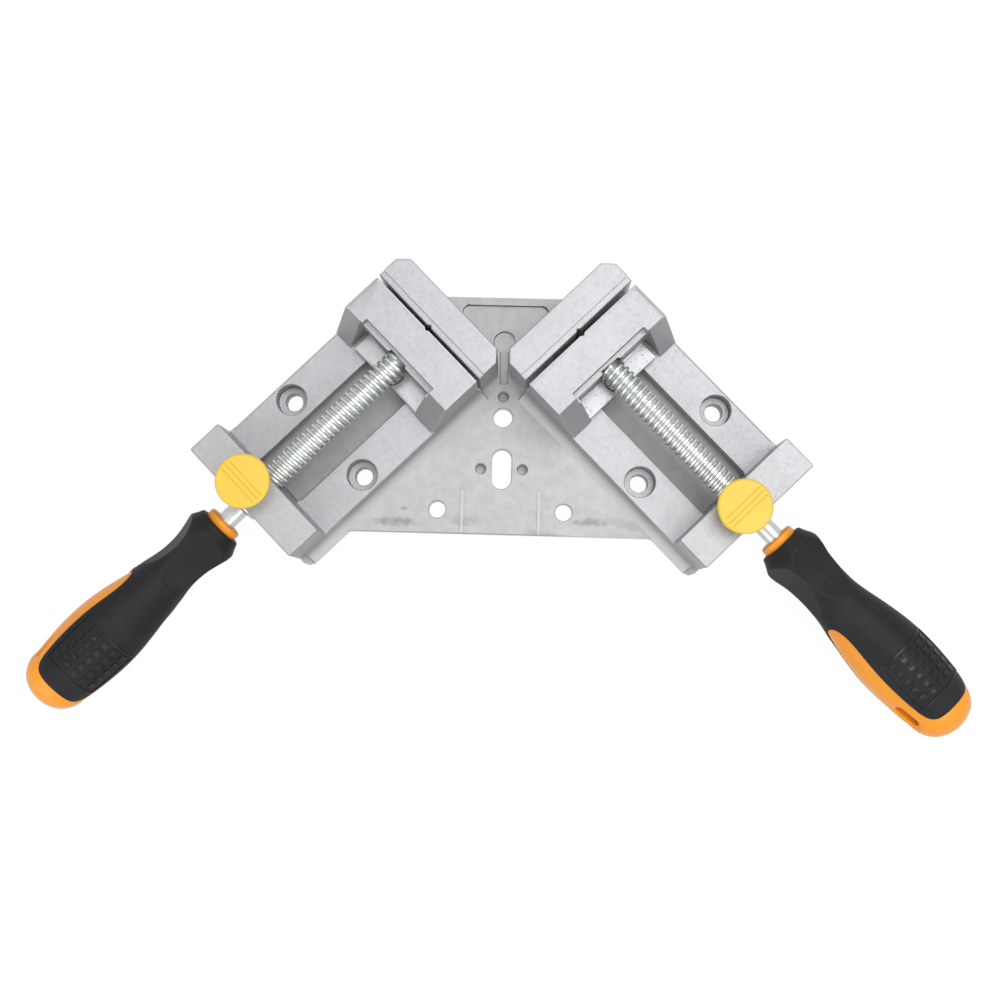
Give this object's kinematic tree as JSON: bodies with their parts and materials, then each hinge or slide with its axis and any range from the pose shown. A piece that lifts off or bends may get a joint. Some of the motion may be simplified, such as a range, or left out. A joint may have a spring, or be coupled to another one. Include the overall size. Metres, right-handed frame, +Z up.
{
  "type": "corner clamp",
  "caption": "Two-way right-angle clamp: cast base with fixed jaws, sliding jaws on quick-release lead screws, two-colour screwdriver handles.",
  "frame": {"origin": "axis of the plate's middle hole at the bench face, the underside of the base casting", "axes": "+Z up through the middle hole, +Y towards the corner between the fixed jaws, +X to the right handle, across both arms"},
  "size_m": [0.3526, 0.1779, 0.0456],
  "materials": {
    "cast_aluminium": "satin die casting with milled faces",
    "jaw_aluminium": "satin die casting with milled faces",
    "steel": "machined",
    "zinc_steel": "bright zinc plated",
    "brass": "machined",
    "button_plastic": "satin yellow",
    "core_plastic": "glossy orange",
    "grip_rubber": "matt black"
  },
  "bodies": {
    "frame": {"base_casting": "cast_aluminium", "left_guide_bush": "steel", "left_nut_cover": "zinc_steel", "left_cover_screws": "zinc_steel", "left_nut_spring": "steel", "right_guide_bush": "steel", "right_nut_cover": "zinc_steel", "right_cover_screws": "zinc_steel", "right_nut_spring": "steel"},
    "left_jaw": {"left_movable_jaw": "jaw_aluminium", "left_jaw_keeper": "steel", "left_keeper_screw": "steel", "left_nose_pin": "steel"},
    "left_screw": {"left_lead_screw": "zinc_steel", "left_handle_core": "core_plastic", "left_handle_grip": "grip_rubber"},
    "left_button": {"left_half_nut": "brass", "left_release_button": "button_plastic"},
    "right_jaw": {"right_movable_jaw": "jaw_aluminium", "right_jaw_keeper": "steel", "right_keeper_screw": "steel", "right_nose_pin": "steel"},
    "right_screw": {"right_lead_screw": "zinc_steel", "right_handle_core": "core_plastic", "right_handle_grip": "grip_rubber"},
    "right_button": {"right_half_nut": "brass", "right_release_button": "button_plastic"}
  },
  "joints": [
    {"name": "left_jaw_slide", "type": "slide", "parent": "frame", "child": "left_jaw", "axis": [-0.7071, -0.7071, 0], "range_m": [-0.00115, 0.054]},
    {"name": "left_screw_spin", "type": "hinge", "parent": "left_jaw", "child": "left_screw", "pos_m": [-0.09206, -0.03408, 0.026], "axis": [-0.7071, -0.7071, 0], "range_deg": [-165.7, 7776.1]},
    {"name": "left_button_press", "type": "slide", "parent": "frame", "child": "left_button", "axis": [0, 0, -1], "range_m": [0, 0.0035], "stiffness_N_per_m": 1200, "springref_m": -0.004, "deforming": ["left_nut_spring"]},
    {"name": "right_jaw_slide", "type": "slide", "parent": "frame", "child": "right_jaw", "axis": [0.7071, -0.7071, 0], "range_m": [-0.00195, 0.054]},
    {"name": "right_screw_spin", "type": "hinge", "parent": "right_jaw", "child": "right_screw", "pos_m": [0.09206, -0.03408, 0.026], "axis": [0.7071, -0.7071, 0], "range_deg": [-280.9, 7776.1]},
    {"name": "right_button_press", "type": "slide", "parent": "frame", "child": "right_button", "axis": [0, 0, -1], "range_m": [0, 0.0035], "stiffness_N_per_m": 1200, "springref_m": -0.004, "deforming": ["right_nut_spring"]}
  ],
  "couplings": [
    {"joint": "left_screw_spin", "follows": "left_jaw_slide", "rad_per_m": 2513.3},
    {"joint": "right_screw_spin", "follows": "right_jaw_slide", "rad_per_m": 2513.3}
  ]
}
